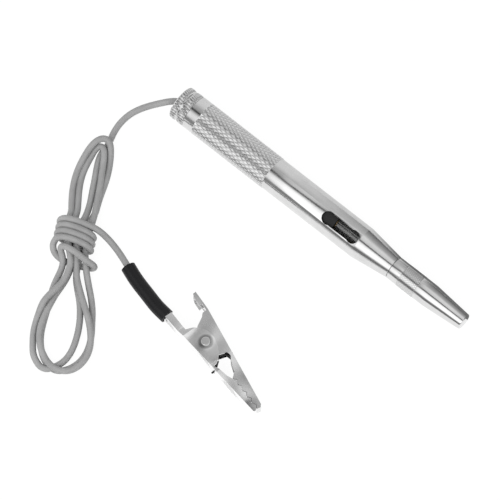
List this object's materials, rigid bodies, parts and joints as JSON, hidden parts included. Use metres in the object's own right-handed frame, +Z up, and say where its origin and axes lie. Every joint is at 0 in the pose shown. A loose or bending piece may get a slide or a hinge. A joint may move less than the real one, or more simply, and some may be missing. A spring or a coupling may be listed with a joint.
{
  "type": "circuit test light",
  "caption": "Pen-shaped circuit test light with a capped probe needle, a windowed lamp tube, a knurled grip and a corded alligator clip, its cord tied in a hank.",
  "frame": {"origin": "on the surface that the pen lies on, below the middle of the pen, measured without the cord and clip", "axes": "+X along the pen from the cord end to the probe end, +Z up, +Y to the left seen from the cord end; the cord and clip lie towards -X and -Y"},
  "size_m": [0.1359, 0.1059, 0.012],
  "materials": {
    "chrome_body": "bright chrome plate over brass, diamond knurled grip",
    "chrome_cap": "bright chrome plate over brass",
    "bush_plastic": "natural nylon",
    "needle_steel": "ground and hardened steel",
    "lamp_glass": "clear glass tube",
    "lamp_brass": "drawn brass",
    "contact_brass": "turned brass",
    "ferrule_brass": "crimped brass",
    "tungsten": "coiled tungsten wire",
    "lead_wire": "drawn nickel wire",
    "tube_plastic": "black insulating tube",
    "spring_steel": "drawn spring wire",
    "clip_spring_steel": "blackened spring wire",
    "solder": "tin solder",
    "washer_fibre": "vulcanised fibre",
    "copper": "tinned copper strands",
    "cord_jacket": "soft grey vinyl jacket",
    "boot_rubber": "black vinyl sleeve",
    "clip_nickel": "nickel plated steel sheet",
    "rivet_steel": "nickel plated rivet"
  },
  "bodies": {
    "cord_end": {"rear_cap": "chrome_cap", "rear_washer": "washer_fibre", "contact_disc": "contact_brass", "solder_joint": "solder", "contact_spring": "spring_steel", "cord_ferrule": "ferrule_brass", "pen_conductor": "copper", "cord_pen_run": "cord_jacket", "cord_hank": "cord_jacket", "cord_clip_run": "cord_jacket", "clip_boot": "boot_rubber", "clip_conductor": "copper", "clip_lower_jaw": "clip_nickel", "clip_pivot": "rivet_steel", "clip_spring": "clip_spring_steel"},
    "barrel": {"barrel": "chrome_body", "insulating_tube": "tube_plastic", "needle_bush": "bush_plastic", "probe_needle": "needle_steel"},
    "front_cap": {"front_cap": "chrome_cap"},
    "lamp": {"lamp_glass": "lamp_glass", "lamp_shell": "lamp_brass", "lamp_front_cap": "lamp_brass", "lamp_filament": "tungsten", "lamp_supports": "lead_wire", "contact_plunger": "contact_brass"},
    "upper_jaw": {"clip_upper_jaw": "clip_nickel"}
  },
  "joints": [
    {"name": "barrel_pull", "type": "slide", "parent": "cord_end", "child": "barrel", "axis": [1, 0, 0], "range_m": [0, 0.062]},
    {"name": "front_cap_pull", "type": "slide", "parent": "barrel", "child": "front_cap", "axis": [1, 0, 0], "range_m": [0, 0.034]},
    {"name": "lamp_push", "type": "slide", "parent": "barrel", "child": "lamp", "axis": [-1, 0, 0], "range_m": [0, 0.002], "stiffness_N_per_m": 250, "deforming": ["contact_spring"]},
    {"name": "jaw_hinge", "type": "hinge", "parent": "cord_end", "child": "upper_jaw", "pos_m": [0, -0.0589, 0.00375], "axis": [0, 0, 1], "range_deg": [0, 28], "stiffness_Nm_per_rad": 0.25, "springref_deg": -28.65, "deforming": ["clip_spring"]}
  ]
}
